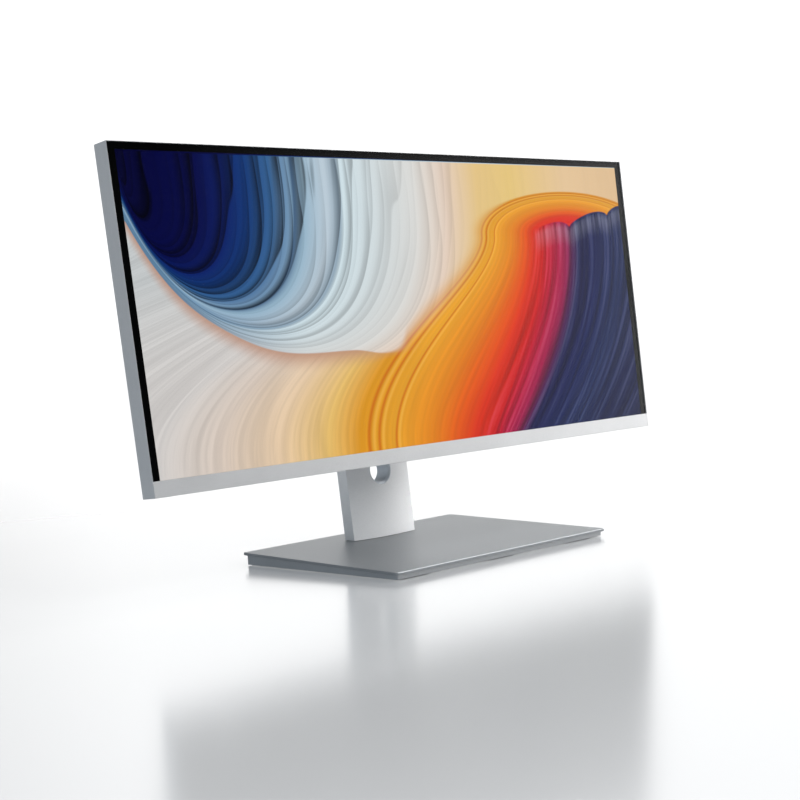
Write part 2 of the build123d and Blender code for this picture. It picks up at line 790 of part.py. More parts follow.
with BuildPart() as mounting_frame:
    with BuildSketch(panel_level(hinge_height - 60)):
        span(-hat_half, hat_half, hat_top - hat_sheet, hat_top)
        for side in (-1, 1):
            span(*sorted((side * (hat_half - hat_sheet), side * hat_half)), chassis_back + gap, hat_top)
            span(*sorted((side * (hat_half - hat_sheet), side * (hat_half + 10))),
                 chassis_back + gap, chassis_back + gap + hat_sheet)
    extrude(amount=120)
    with BuildSketch(panel_plane(hat_top - 8)):
        with Locations((0, hinge_height)):
            with GridLocations(vesa_spacing, vesa_spacing, 2, 2):
                Circle(4.8)
    extrude(amount=-(bulge_back - hat_top + 8))
    with BuildSketch(panel_plane(hat_top - 5)):
        with Locations(*bracket_screw_spots):
            Circle(4.2)
    extrude(amount=-4)
    with BuildSketch(panel_plane(hat_top - 10)):
        with Locations((0, hinge_height)):
            with GridLocations(vesa_spacing, vesa_spacing, 2, 2):
                Circle(vesa_thread_radius)
        with Locations(*bracket_screw_spots):
            Circle(2.0)
    extrude(amount=-20, mode=Mode.SUBTRACT)
save(mounting_frame, "mounting_frame")

board_front = 29.5
board_thickness = 1.6
main_board_size = (-105, 105, 95, 205)
driver_board_size = (-192, -134, 115, 205)


def board_corners(size):
    """Standoff places, 6 mm in from a board's corners."""
    x_low, x_high, y_low, y_high = size
    return [(x, y) for x in (x_low + 6, x_high - 6) for y in (y_low + 20, y_high - 6)]


standoff_spots = board_corners(main_board_size) + board_corners(driver_board_size)

with BuildPart() as main_board:
    with BuildSketch(panel_plane(board_front)):
        span(*main_board_size)
        with Locations(*standoff_spots):
            Circle(1.6, mode=Mode.SUBTRACT)
    extrude(amount=-board_thickness)
    with BuildSketch(panel_plane(board_front + board_thickness)):
        with Locations((0, 160)):
            Rectangle(34, 34)
        with Locations((36, 176), (36, 160)):
            Rectangle(18, 12)
        with Locations((62, 140), (62, 156), (62, 172), (78, 140), (78, 156)):
            Circle(4)
    extrude(amount=-3)
save(main_board, "main_board")

with BuildPart() as heat_sink:
    with BuildSketch(panel_level(143)):
        span(-17, 17, 34.2, 35.6)
        with Locations((0, 37.5)):
            with GridLocations(4, 1, 9, 1):
                Rectangle(1.1, 4.6)
    extrude(amount=34)
save(heat_sink, "heat_sink")

with BuildPart() as driver_board:
    with BuildSketch(panel_plane(board_front)):
        span(*driver_board_size)
        with Locations(*standoff_spots):
            Circle(1.6, mode=Mode.SUBTRACT)
    extrude(amount=-board_thickness)
    with BuildSketch(panel_plane(board_front + board_thickness)):
        with Locations((-163, 150)):
            Rectangle(24, 20)
        with Locations((-163, 180), (-148, 168), (-176, 168)):
            Circle(4.5)
    extrude(amount=-9)
save(driver_board, "driver_board")

with BuildPart() as board_standoffs:
    with BuildSketch(panel_plane(chassis_back + gap)):
        with Locations(*standoff_spots):
            RegularPolygon(3, 6)
    extrude(amount=-(board_front - chassis_back - gap))
    with BuildSketch(panel_plane(board_front)):
        with Locations(*standoff_spots):
            Circle(1.5)
    extrude(amount=-4)
save(board_standoffs, "board_standoffs")

with BuildPart() as timing_board:
    with BuildSketch(panel_plane(11.5)):
        span(-70, 70, 34, 54)
    extrude(amount=-1.2)
    with BuildSketch(panel_plane(12.7)):
        with Locations((0, 44), (-35, 44), (35, 44)):
            Rectangle(10, 10)
    extrude(amount=-1.4)
save(timing_board, "timing_board")

for name, (spots, width, height, tongue_width, tongue_height) in socket_table.items():
    with BuildPart() as socket:
        with BuildSketch(panel_level(socket_face)):
            with Locations(*[(x, socket_board + height / 2) for x in spots]):
                RectangleRounded(width, height, 0.8)
                RectangleRounded(width - 1.0, height - 1.0, 0.4, mode=Mode.SUBTRACT)
                Rectangle(tongue_width, tongue_height)
        extrude(amount=12)
        with BuildSketch(panel_level(socket_face + 12)):
            with Locations(*[(x, socket_board + height / 2) for x in spots]):
                RectangleRounded(width, height, 0.8)
        extrude(amount=3)
    save(socket, name)

with BuildPart() as power_inlet:
    with BuildSketch(panel_level(socket_face)):
        with Locations((dc_jack_x, socket_board + 4.8)):
            RectangleRounded(11, 9.6, 1)
    extrude(amount=15)
    with BuildSketch(panel_level(socket_face)):
        with Locations((dc_jack_x, socket_board + 4.8)):
            Circle(3.2)
            Circle(1.0, mode=Mode.SUBTRACT)
    extrude(amount=11, mode=Mode.SUBTRACT)
save(power_inlet, "power_inlet")

with BuildPart() as audio_jack:
    with BuildSketch(panel_level(socket_face)):
        with Locations((audio_jack_x, socket_board + 3)):
            RectangleRounded(8, 6, 0.6)
            Circle(1.8, mode=Mode.SUBTRACT)
    extrude(amount=13)
save(audio_jack, "audio_jack")

with BuildPart() as speakers:
    with BuildSketch(panel_level(2.4)):
        with Locations((-speaker_x, 15), (speaker_x, 15)):
            RectangleRounded(104, 8.6, 2)
    extrude(amount=11.4)
    with BuildSketch(panel_level(2.4)):
        with Locations((-speaker_x, 15), (speaker_x, 15)):
            SlotOverall(90, 6)
    extrude(amount=1.2, mode=Mode.SUBTRACT)
save(speakers, "speakers")

with BuildPart() as status_light_pipe:
    with BuildSketch(panel_level(0.2)):
        with Locations((lamp_x, 12)):
            Circle(1.2)
    extrude(amount=9)
    with BuildSketch(panel_level(frame_wall + gap)):
        with Locations((lamp_x, 12)):
            Circle(2.2)
    extrude(amount=1.2)
save(status_light_pipe, "status_light_pipe")

with BuildPart() as lock_slot_plate:
    with BuildSketch(panel_plane(cover_front - gap)):
        with Locations((-joystick_x, control_height)):
            RectangleRounded(24, 16, 2)
            SlotOverall(7, 3, mode=Mode.SUBTRACT)
    extrude(amount=2)
save(lock_slot_plate, "lock_slot_plate")

# ================================================================ controls on the back
key_board_front = 11.0
key_board_back = 12.6
joystick_pivot = 14.4

with BuildPart() as control_board:
    with BuildSketch(panel_plane(key_board_front)):
        span(joystick_x - 14, power_x + 12, control_height - 12, control_height + 12)
    extrude(amount=-(key_board_back - key_board_front))
    with BuildSketch(panel_plane(key_board_back)):
        with Locations((power_x, control_height)):
            Rectangle(5, 5)
    extrude(amount=-1.6)
    with BuildSketch(panel_plane(key_board_back)):
        with Locations((joystick_x, control_height)):
            Circle(9)
            Circle(7.4, mode=Mode.SUBTRACT)
    extrude(amount=-3.4)
save(control_board, "control_board")

with BuildPart() as joystick_gimbal:
    with BuildSketch(panel_plane(joystick_pivot - 0.7)):
        with Locations((joystick_x, control_height)):
            Circle(6.2)
            Circle(4.3, mode=Mode.SUBTRACT)
    extrude(amount=-1.4)
save(joystick_gimbal, "joystick_gimbal")

with BuildPart() as joystick_stem:
    ball_centre = panel_origin + right * joystick_x + panel_up * control_height + panel_back * joystick_pivot
    with Locations(ball_centre):
        Sphere(1.7)
    with BuildSketch(panel_plane(joystick_pivot)):
        with Locations((joystick_x, control_height)):
            Circle(1.7)
    extrude(amount=-5.6)
    with BuildSketch(panel_plane(joystick_pivot - 0.6)):
        with Locations((joystick_x, control_height)):
            Circle(3.9)
    extrude(amount=-1.2)
save(joystick_stem, "joystick_stem")

with BuildPart() as joystick_cap:
    with BuildSketch(panel_plane(18.6)):
        with Locations((joystick_x, control_height)):
            Circle(6.0)
    extrude(amount=-6.8)
    fillet(joystick_cap.faces().sort_by(Axis.Y)[-1].edges(), 2.0)
    with BuildSketch(panel_plane(18.6)):
        with Locations((joystick_x, control_height)):
            Circle(1.8)
    extrude(amount=-2.6, mode=Mode.SUBTRACT)
save(joystick_cap, "joystick_cap")

with BuildPart() as power_button:
    with BuildSketch(panel_plane(15.6)):
        with Locations((power_x, control_height)):
            Circle(5.2)
    extrude(amount=-1.5)
    with BuildSketch(panel_plane(15.6)):
        with Locations((power_x, control_height)):
            Circle(4.0)
    extrude(amount=-7.2)
    fillet(power_button.faces().sort_by(Axis.Y)[-1].edges(), 0.5)
save(power_button, "power_button")

print("hinge pin", hinge_point, "column v,w", hinge_v, hinge_w)
print("swivel point", swivel_point, "normal", base_normal)
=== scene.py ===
# %% [markdown]
# A wide desk monitor, seen lit on a white studio table.
#
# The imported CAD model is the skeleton: it fixes every place and size. This file gives each piece its
# finish, swaps the display for one that shows a moving-cloth picture, and sets the table, the lights and
# the camera. Each step says what the real thing is, how it could be made, and why it is made this way.

# %% Load the frame
import bpy
import numpy as np
from math import atan, cos, degrees, radians, sin
from mathutils import Matrix, Vector


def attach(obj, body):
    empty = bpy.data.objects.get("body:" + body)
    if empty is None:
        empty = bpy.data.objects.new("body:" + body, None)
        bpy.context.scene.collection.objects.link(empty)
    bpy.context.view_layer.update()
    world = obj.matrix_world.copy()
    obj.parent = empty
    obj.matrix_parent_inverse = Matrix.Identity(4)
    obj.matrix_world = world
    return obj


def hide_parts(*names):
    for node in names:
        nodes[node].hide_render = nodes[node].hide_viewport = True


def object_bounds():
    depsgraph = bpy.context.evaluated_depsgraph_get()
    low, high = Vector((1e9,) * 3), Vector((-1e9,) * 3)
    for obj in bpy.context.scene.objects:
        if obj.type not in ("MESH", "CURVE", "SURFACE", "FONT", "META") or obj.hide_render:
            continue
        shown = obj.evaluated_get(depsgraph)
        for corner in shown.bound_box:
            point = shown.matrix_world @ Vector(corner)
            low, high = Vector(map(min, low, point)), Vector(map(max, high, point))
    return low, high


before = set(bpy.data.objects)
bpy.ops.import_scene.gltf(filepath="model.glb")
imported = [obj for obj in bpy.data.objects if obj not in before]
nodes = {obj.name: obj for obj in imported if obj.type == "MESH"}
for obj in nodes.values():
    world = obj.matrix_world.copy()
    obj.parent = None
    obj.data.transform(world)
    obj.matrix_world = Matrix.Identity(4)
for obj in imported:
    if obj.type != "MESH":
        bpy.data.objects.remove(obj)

cad_low, cad_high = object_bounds()
MM = 0.001
print("CAD box", [round(v, 4) for v in (*cad_low, *cad_high)], "nodes", len(nodes))

# %% [markdown]
# The panel leans back, so what lies on it is easier to place on the panel's own axes:
# right along the screen, up the screen, and back away from it. The lean is the angle of the front glass's
# normal, read from the glass itself, so that nothing has to be typed twice.


# %% The panel's own axes
def panel_axes():
    """Front face normal, and from it the unit vectors up the panel and into it, in the row frame."""
    faces = nodes["front_glass"].data.polygons
    front = min(faces, key=lambda face: face.normal.y * face.area)
    into = -front.normal.normalized()
    up = into.cross(Vector((1, 0, 0))).normalized()
    up = up if up.z > 0 else -up
    return up, into


panel_up, panel_into = panel_axes()
print("panel leans back", round(degrees(atan(panel_up.y / panel_up.z)), 3), "degrees")


def panel_limits(node):
    """Lowest and highest place of a node along right, up the panel and into it."""
    count = len(nodes[node].data.vertices)
    co = np.empty(count * 3)
    nodes[node].data.vertices.foreach_get("co", co)
    co = co.reshape(-1, 3)
    axes = np.array([(1, 0, 0), panel_up[:], panel_into[:]]).T
    local = co @ axes
    return local.min(0), local.max(0)


def panel_point(across, up, into):
    """Row-frame point from the panel's axes; arrays in, one array of points out."""
    across, up, into = np.broadcast_arrays(across, up, into)
    axes = np.array([(1, 0, 0), panel_up[:], panel_into[:]])
    return np.stack([across, up, into], -1) @ axes


# %% [markdown]
# Shader maths reads best as plain arithmetic. `Value` wraps one socket, so that `1 - mask * 0.3` adds the
# Math nodes by itself, and `Finish.node` makes every other node: type, settings, then its sockets.


# %% Shader maths as Python expressions
class Value:
    """A number that flows through a material; arithmetic on it adds Math nodes."""

    def __init__(self, finish, socket):
        self.finish, self.socket = finish, socket

    def math(self, operation, *others):
        """This value and others through one Math node."""
        return self.finish.node("ShaderNodeMath", {"operation": operation}, [self, *others])

    def __add__(self, other):
        return self.math("ADD", other)

    __radd__ = __add__

    def __sub__(self, other):
        return self.math("SUBTRACT", other)

    def __rsub__(self, other):
        return self.finish.node("ShaderNodeMath", {"operation": "SUBTRACT"}, [other, self])

    def __mul__(self, other):
        return self.math("MULTIPLY", other)

    __rmul__ = __mul__

    def __truediv__(self, other):
        return self.math("DIVIDE", other)

    def __pow__(self, other):
        return self.math("POWER", other)

    def step(self, low, high):
        """0 below low, 1 above high, and a smooth rise between."""
        return self.finish.node("ShaderNodeMapRange", {"interpolation_type": "SMOOTHSTEP"},
                                [self, low, high, 0, 1])

    def other(self, name):
        """Another output of the node that this value came from."""
        return Value(self.finish, self.socket.node.outputs[name])


class Finish:
    """One material, or the world, being wired."""

    def __init__(self, name, owner=None):
        self.owner = owner or bpy.data.materials.new(name)
        self.owner.use_nodes = True
        self.tree = self.owner.node_tree
        self.tree.nodes.clear()

    def node(self, kind, settings=None, sockets=None):
        """A node by type, with its settings set first, then its sockets; gives its first output."""
        made = self.tree.nodes.new(kind)
        for key, value in (settings or {}).items():
            if key == "stops":
                self.set_stops(made.color_ramp, value)
            else:
                setattr(made, key, value)
        pairs = sockets.items() if isinstance(sockets, dict) else enumerate(sockets or [])
        for key, value in pairs:
            target = made.inputs[key]
            if isinstance(value, Value):
                self.tree.links.new(value.socket, target)
            elif value is not None:
                target.default_value = value
        return Value(self, made.outputs[0]) if made.outputs else made

    @staticmethod
    def set_stops(ramp, stops):
        """Colour ramp stops, as (place, colour) pairs."""
        while len(ramp.elements) < len(stops):
            ramp.elements.new(1)
        for element, (place, colour) in zip(ramp.elements, stops):
            element.position = place
            element.color = (*colour, 1)

    def mix(self, factor, first, second):
        """Colour first to colour second by factor."""
        made = self.node("ShaderNodeMix", {"data_type": "RGBA"}, {0: factor, 6: first, 7: second})
        return Value(self, made.socket.node.outputs[2])

    def place(self, scale=(1, 1, 1), turn=(0, 0, 0)):
        """Object coordinates through a Mapping node."""
        coordinates = self.node("ShaderNodeTexCoord").other("Object")
        return self.node("ShaderNodeMapping", None, {"Vector": coordinates, "Scale": scale, "Rotation": turn})

    def noise(self, scale, detail=2.0, stretch=(1, 1, 1), roughness=0.5):
        """Noise over the piece, in object coordinates; scale is in bumps per metre."""
        return self.node("ShaderNodeTexNoise", None, {
            "Vector": self.place(stretch), "Scale": scale, "Detail": detail, "Roughness": roughness})

    def bump(self, height, strength, distance):
        """Bump from a height; distance is the real depth in metres."""
        return self.node("ShaderNodeBump", None, {
            "Height": height, "Strength": strength, "Distance": distance})

    def close(self, shader):
        """Wires a shader to the output and gives the finished material."""
        kind = "World" if isinstance(self.owner, bpy.types.World) else "Material"
        self.node("ShaderNodeOutput" + kind, None, {"Surface": shader})
        return self.owner


def scaled(colour, factor):
    """A colour times a factor, at most white, with full alpha."""
    return tuple(min(1, c * factor) for c in colour) + (1,)


def linear(colour):
    """A web colour such as 8899aa as linear light: each channel c becomes ((c + 0.055) / 1.055) ** 2.4."""
    channels = [int(colour[i:i + 2], 16) / 255 for i in (0, 2, 4)]
    return tuple(c / 12.92 if c <= 0.04045 else ((c + 0.055) / 1.055) ** 2.4 for c in channels)


def paint(material, *names):
    """Puts a material on CAD nodes."""
    for name in names:
        slots = nodes[name].data.materials
        slots.clear()
        slots.append(material)


# %% [markdown]
# Nearly every metal part of the housing is aluminium, blasted with fine glass beads and anodised. Up close
# that is a skin of tiny craters, so the light breaks into fine sparkle and the roughness is uneven. A
# scanned texture could give it, but noise in object coordinates has one scale everywhere and no seams.


# %% Blasted aluminium
CRATER_DEPTH = 0.06 * MM


def blasted_metal(name, colour, rough, metallic=0.72):
    """Anodised aluminium: crater bump from fine noise, cloudy roughness from broad noise. The less metallic
    it is, the more its anodised skin scatters."""
    f = Finish(name)
    craters = f.noise(2600, 3)
    grit = f.noise(800, 2)
    clouds = f.noise(14, 3)
    tone = f.mix(clouds.step(0.3, 0.7), scaled(colour, 0.955), (*colour, 1))
    sparkle = craters.step(0.35, 0.68) * 0.1 + grit.step(0.35, 0.65) * 0.14
    speckle = f.mix(sparkle, tone, scaled(colour, 1.25))
    return f.close(f.node("ShaderNodeBsdfPrincipled", None, {
        "Base Color": speckle, "Metallic": metallic,
        "Roughness": rough - 0.05 + clouds * 0.06 + craters * 0.05,
        "Normal": f.bump(craters, 0.35, CRATER_DEPTH)}))


silver = blasted_metal("silver_blasted", (0.60, 0.605, 0.612), 0.42)
paint(silver, "side_frame", "carriage_arm", "heat_sink")
paint(blasted_metal("chin_blasted", (0.75, 0.752, 0.756), 0.32), "chin_trim")
column_silver = blasted_metal("column_blasted", (0.77, 0.769, 0.769), 0.5, 0.3)
paint(column_silver, "column_cover", "column_rear_cover", "column_cap", "column_foot")
liner_metal = blasted_metal("liner_blasted", (0.60, 0.63, 0.66), 0.4, 0.5)
paint(liner_metal, "cable_hole_liner")
base_grey = blasted_metal("base_blasted", (0.245, 0.257, 0.268), 0.42, 0.6)
paint(base_grey, "base_top_plate")
tray_grey = blasted_metal("tray_blasted", (0.31, 0.322, 0.334), 0.36, 0.7)
paint(tray_grey, "base_tray")
print("blasted finishes: silver, chin, column, liner, base and tray")

# %% [markdown]
# Plates, rails and pins are zinc-plated steel, screws and brackets are black oxide, and the friction discs
# and standoffs are brass. Rolling and turning leave hairlines along one way. They are far too fine to model,
# so one recipe draws them all as noise that is stretched along one axis.


# %% Steel, screws and brass
def brushed_metal(name, colour, rough, stretch=(1, 1, 14)):
    """Rolled or turned metal: long thin noise gives hairlines in colour, roughness and bump."""
    f = Finish(name)
    hair = f.noise(260, 3, stretch)
    broad = f.noise(9, 2)
    tone = f.mix(hair, scaled(colour, 0.82), scaled(colour, 1.08))
    return f.close(f.node("ShaderNodeBsdfPrincipled", None, {
        "Base Color": tone, "Metallic": 1.0, "Roughness": rough + hair * 0.12 + broad * 0.05,
        "Normal": f.bump(hair, 0.15, 0.05 * MM)}))


steel = brushed_metal("zinc_steel", (0.56, 0.57, 0.58), 0.26)
paint(steel, "column_rail", "ballast_plate", "swivel_bearing_plate", "carriage_plate", "gas_spring_rods",
      "tilt_pin", "tilt_nut", "panel_chassis", "mounting_frame", "lock_slot_plate")
black_oxide = brushed_metal("black_oxide", (0.055, 0.056, 0.06), 0.38, (1, 1, 5))
paint(black_oxide, "base_screws", "rail_screws", "swivel_shaft", "swivel_nut", "gas_spring_cylinders",
      "arm_screws", "tilt_bracket", "bracket_screws", "cover_screws")
brass = brushed_metal("machined_brass", (0.78, 0.58, 0.28), 0.24, (6, 1, 1))
paint(brass, "tilt_friction_discs", "board_standoffs")
socket_metal = brushed_metal("plated_socket", (0.66, 0.66, 0.65), 0.2, (4, 1, 1))
paint(socket_metal, "hdmi_sockets", "displayport_socket", "usb_c_socket", "usb_a_sockets")
print("brushed finishes:", ", ".join(m.name for m in (steel, black_oxide, brass, socket_metal)))


# %% [markdown]
# Plastic and rubber take the texture of their mould, a field of small pebbles. It could be modelled, but at
# a twentieth of a millimetre deep a bump in the material does the same for nothing.


# %% Plastics and rubber
def moulded_plastic(name, colour, rough, pebble=1400, depth=0.05 * MM, shine=0.5):
    """Spark-eroded mould texture: small round pebbles, with a painted highlight that makes the base colour a
    shade lighter on their tops. pebble is in bumps per metre, and shine 0.5 is the gloss of a bare plastic."""
    f = Finish(name)
    pebbles = f.noise(pebble, 2)
    broad = f.noise(11, 3)
    return f.close(f.node("ShaderNodeBsdfPrincipled", None, {
        # painted highlight: the base colour is a shade lighter on the pebble tops, where the bump is highest;
        # the broad noise adds random tone
        "Base Color": f.mix(pebbles.step(0.3, 0.7) * 0.6 + broad * 0.4,
                            scaled(colour, 0.9), scaled(colour, 1.2)),
        "Roughness": rough + broad * 0.08 + pebbles * 0.06, "Specular IOR Level": shine,
        "Normal": f.bump(pebbles, 0.5, depth)}))


rear_plastic = moulded_plastic("rear_silver_plastic", (0.50, 0.515, 0.53), 0.42)
paint(rear_plastic, "rear_cover")
dark_plastic = moulded_plastic("dark_plastic", (0.018, 0.018, 0.02), 0.4)
paint(dark_plastic, "joystick_cap", "power_button", "power_inlet", "audio_jack", "speakers")
slick_plastic = moulded_plastic("slick_acetal", (0.72, 0.72, 0.68), 0.3, 500)
paint(slick_plastic, "guide_pads", "swivel_bushing", "swivel_washer", "joystick_gimbal", "joystick_stem")
rubber = moulded_plastic("black_rubber", (0.02, 0.02, 0.021), 0.75, 700, 0.1 * MM)
paint(rubber, "rubber_feet")
white_film = moulded_plastic("white_film", (0.84, 0.84, 0.84), 0.55, 2500, 0.02 * MM)
paint(white_film, "diffuser_films", "reflector_sheet")
moulded = (rear_plastic, dark_plastic, slick_plastic, rubber, white_film)
print("moulded finishes:", ", ".join(m.name for m in moulded))


# %% [markdown]
# The boards are seen only through the vents and sockets, so tracks from a brick pattern are enough. The
# light guide and the status light are clear acrylic, which lets most of the light through.


# %% Circuit boards and acrylic
def circuit_board(name):
    """Green lacquer over copper: straight tracks from a brick pattern, lighter where copper lies below."""
    f = Finish(name)
    tracks = f.node("ShaderNodeTexBrick", {"offset": 0.37, "squash": 1.7}, {
        "Vector": f.place((1, 1, 1), (radians(90), 0, 0)), "Color1": (0, 0, 0, 1), "Color2": (0, 0, 0, 1),
        "Mortar": (1, 1, 1, 1), "Scale": 160, "Mortar Size": 0.04, "Mortar Smooth": 0.3})
    speck = f.noise(60, 3)
    green = f.mix(tracks, (0.006, 0.055, 0.028, 1), (0.02, 0.16, 0.07, 1))
    return f.close(f.node("ShaderNodeBsdfPrincipled", None, {
        "Base Color": f.mix(speck.step(0.55, 0.8) * 0.3, green, (0.01, 0.02, 0.015, 1)),
        "Roughness": 0.28 + speck * 0.1, "Normal": f.bump(tracks, 0.3, 0.05 * MM)}))


board = circuit_board("circuit_board")
paint(board, "main_board", "driver_board", "timing_board", "control_board", "led_strip")


ACRYLIC_IOR = 1.49


def clear_block(name, tint, rough):
    """Clear cast block: mostly see-through, with faint milky streaks."""
    f = Finish(name)
    streaks = f.noise(30, 3, (1, 1, 4))
    body = f.node("ShaderNodeBsdfPrincipled", None, {
        "Base Color": f.mix(streaks, (*tint, 1), (0.95, 0.97, 0.98, 1)),
        "Roughness": rough + streaks * 0.05, "Transmission Weight": 0.6, "IOR": ACRYLIC_IOR})
    return f.close(body)


acrylic = clear_block("clear_acrylic", (0.86, 0.92, 0.94), 0.05)
paint(acrylic, "light_guide", "status_light_pipe")
print("inner finishes:", board.name, "and", acrylic.name)

# %% [markdown]
# The front is one sheet of thin clear glass. In Blender a true refracting slab makes noise and bends the
# picture, and a sheet this thin hardly bends light at all. So the glass is see-through, with a gloss that
# grows towards a grazing view: Schlick's rule, r = 0.018 + 0.982 (1 - cos) ** 5, where 0.018 is the share
# that a coated glass mirrors square-on. It is the same from either side. Very faint smears keep the gloss
# from looking computed. Behind it lies the black print of the border, with a gloss of its own.


# %% Cover glass and border
COATED_GLOSS = 0.018


def clear_sheet(name):
    """Transparent sheet with a Schlick gloss; broad faint smears change the gloss a little."""
    f = Finish(name)
    facing = f.node("ShaderNodeLayerWeight", None, {"Blend": 0.5}).other("Facing")
    smear = f.noise(7, 3)
    gloss = f.node("ShaderNodeBsdfPrincipled", None, {
        "Base Color": f.mix(smear, (0.9, 0.93, 0.95, 1), (1, 1, 1, 1)), "Metallic": 1.0,
        "Roughness": 0.03 + smear * 0.05})
    clear = f.node("ShaderNodeBsdfTransparent")
    share = COATED_GLOSS + facing ** 5.0 * (1 - COATED_GLOSS)
    return f.close(f.node("ShaderNodeMixShader", None, {0: share, 1: clear, 2: gloss}))


cover_glass = clear_sheet("clear_cover_glass")
paint(cover_glass, "front_glass")
border_black = moulded_plastic("fired_black_print", (0.0004, 0.0004, 0.0005), 0.05, 3000, 0.01 * MM, 0.33)
paint(border_black, "border_mask")
print("front: cover glass over a black printed border")

# %% [markdown]
# The display cell is a flat slab, and everything that makes it interesting is the picture it shows: folds of
# coloured cloth, invented here. A picture file could be put on it, but then the file would have to travel
# with the part. Instead a few smooth fields are worked out over a fine grid of vertices, and the material
# turns them into colours and into the hair-fine lines of the folds.
#
# With x across and y up, both from 0 to 1, the fields are:
# drape, growing from the top left corner, whose level lines are the folds of a hanging cloth;
# flow, whose level lines lean to the right as they rise and then bend over a pivot, like poured paint;
# and the signed distances to the edges where one layer lies over the next.

# %% Fields of the picture
GRID_ACROSS, GRID_UP = 380, 160
PIVOT = (0.86, 0.735)
EDGE_WIDTH = 0.003


def smooth(value, low, high):
    """Smoothstep of arrays: 3 t^2 - 2 t^3, with t clipped to 0..1."""
    t = np.clip((value - low) / (high - low), 0, 1)
    return t * t * (3 - 2 * t)


def lean(level, y):
    """How far the flow line of a level has moved right at height y: k(level) * (1 - (1 - h^m)^1.8)."""
    h = np.clip(y / PIVOT[1], 0, 1)
    m = 2.3 - 1.3 * smooth(level, 0.3, 0.72)
    return (0.17 + 0.46 * np.maximum(0.62 - level, 0)) * (1 - (1 - h ** m) ** 1.8)


def halve(short_of, low, high, like):
    """The value where short_of(value) turns false, found by halving the interval 34 times."""
    low, high = np.full_like(like, low), np.full_like(like, high)
    for _ in range(34):
        middle = (low + high) / 2
        short = short_of(middle)
        low, high = np.where(short, middle, low), np.where(short, high, middle)
    return (low + high) / 2


def hang(level, x):
    """Depth of the fold of a level below the top edge: sqrt(level) * hook(x / level), where the hook falls
    quickly from the left edge, runs nearly level, and climbs back to the top at 0.43."""
    t = x / level
    hook = 0.20 + 0.47 * (1 - np.exp(-t / 0.1))
    return np.sqrt(level) * hook * np.clip(1 - (t / 0.43) ** 4, 0, 1) ** 0.35


def picture_fields(x, y):
    """All the fields of the picture on arrays of x and y, as a dictionary of names and arrays. The cloth's
    hem is at 0.33 + 0.46 exp(-x / 0.095) with a slight wave. Above the pivot's height the flow lines bend
    round it as half ellipses. The shoulder's top is a row of arches, each the root of |sin|."""
    drape = halve(lambda level: hang(level, x) < 1 - y, 0.02, 3.2, x)
    hem = 0.33 + 0.46 * np.exp(-x / 0.095) + 0.01 * np.sin(21 * x) * smooth(x, 0.05, 0.2)
    reach = np.hypot(PIVOT[0] - x, np.maximum(y - PIVOT[1], 0) * 1.3)
    bent = np.where(y > PIVOT[1], PIVOT[0] - reach, x)
    flow = halve(lambda level: level + lean(level, y) < bent, -1.2, 1.2, x)
    ridge = halve(lambda level: level + lean(level, y) < x, -1.2, 1.2, x)
    shoulder = 0.76 + 0.055 * smooth(x, 0.86, 1.0) + 0.036 * np.sqrt(np.abs(np.sin(31 * (x - 0.865))))
    shoulder = shoulder - 0.03 * (1 - smooth(x, 0.78, 0.865))
    crisp = 1 - smooth(x, 0.36, 0.47)
    hem_edge = (y - hem) / EDGE_WIDTH
    soft_edge = (0.352 - flow) / (0.006 + 0.05 * smooth(x, 0.4, 0.55) * (1 - smooth(x, 0.6, 0.75)))
    drape_edge = np.clip(hem_edge, -30, 30) * crisp + np.clip(soft_edge, -30, 30) * (1 - crisp)
    return {"drape": drape, "flow": flow, "ridge": ridge, "hem_below": hem - y, "across": x, "up": y,
            "drape_edge": np.clip(drape_edge, -30, 30), "ridge_edge": (shoulder - y) / EDGE_WIDTH}


# %% [markdown]
# The slab is built straight on the panel's axes, in the place of the display cell, so nothing is turned or
# scaled afterwards. A plain box would do for its shape, but the fields need a vertex every two millimetres.


# %% Build the display slab
def closed_slab(name, low, high, across, up):
    """A closed slab on the panel's axes: a front grid of across * up points, evenly spaced from low to high,
    a plain back, and a ring of quads that joins their rims."""
    u, s = np.meshgrid(np.linspace(low[0], high[0], across), np.linspace(low[1], high[1], up))
    front = panel_point(u, s, low[2]).reshape(-1, 3)
    back = panel_point(u, s, high[2]).reshape(-1, 3)
    index = np.arange(across * up).reshape(up, across)
    rim = np.concatenate([index[0, :-1], index[:-1, -1], index[-1, :0:-1], index[:0:-1, 0]])
    back_rim = np.arange(len(rim)) + across * up
    points = np.concatenate([front, back[rim]])
    quads = np.stack([index[:-1, :-1], index[:-1, 1:], index[1:, 1:], index[1:, :-1]], -1).reshape(-1, 4)
    sides = np.stack([np.roll(rim, -1), rim, back_rim, np.roll(back_rim, -1)], -1)
    mesh = bpy.data.meshes.new(name)
    mesh.from_pydata(points.tolist(), [], [*quads.tolist(), *sides.tolist(), back_rim[::-1].tolist()])
    mesh.update()
    piece = bpy.data.objects.new(name, mesh)
    bpy.context.scene.collection.objects.link(piece)
    return piece, rim


cell_low, cell_high = panel_limits("lcd_cell")
display, display_rim = closed_slab("lit_display", cell_low, cell_high, GRID_ACROSS, GRID_UP)
glass_low, _ = panel_limits("front_glass")
print("display slab", len(display.data.polygons), "faces,", [round(v, 4) for v in cell_high - cell_low], "m")

# %% [markdown]
# The fields go on the slab as point attributes, which the renderer blends between vertices. Their 0 and 1 lie
# on the edges of the lit area, a little inside the cell; the rim beyond is behind the black border.

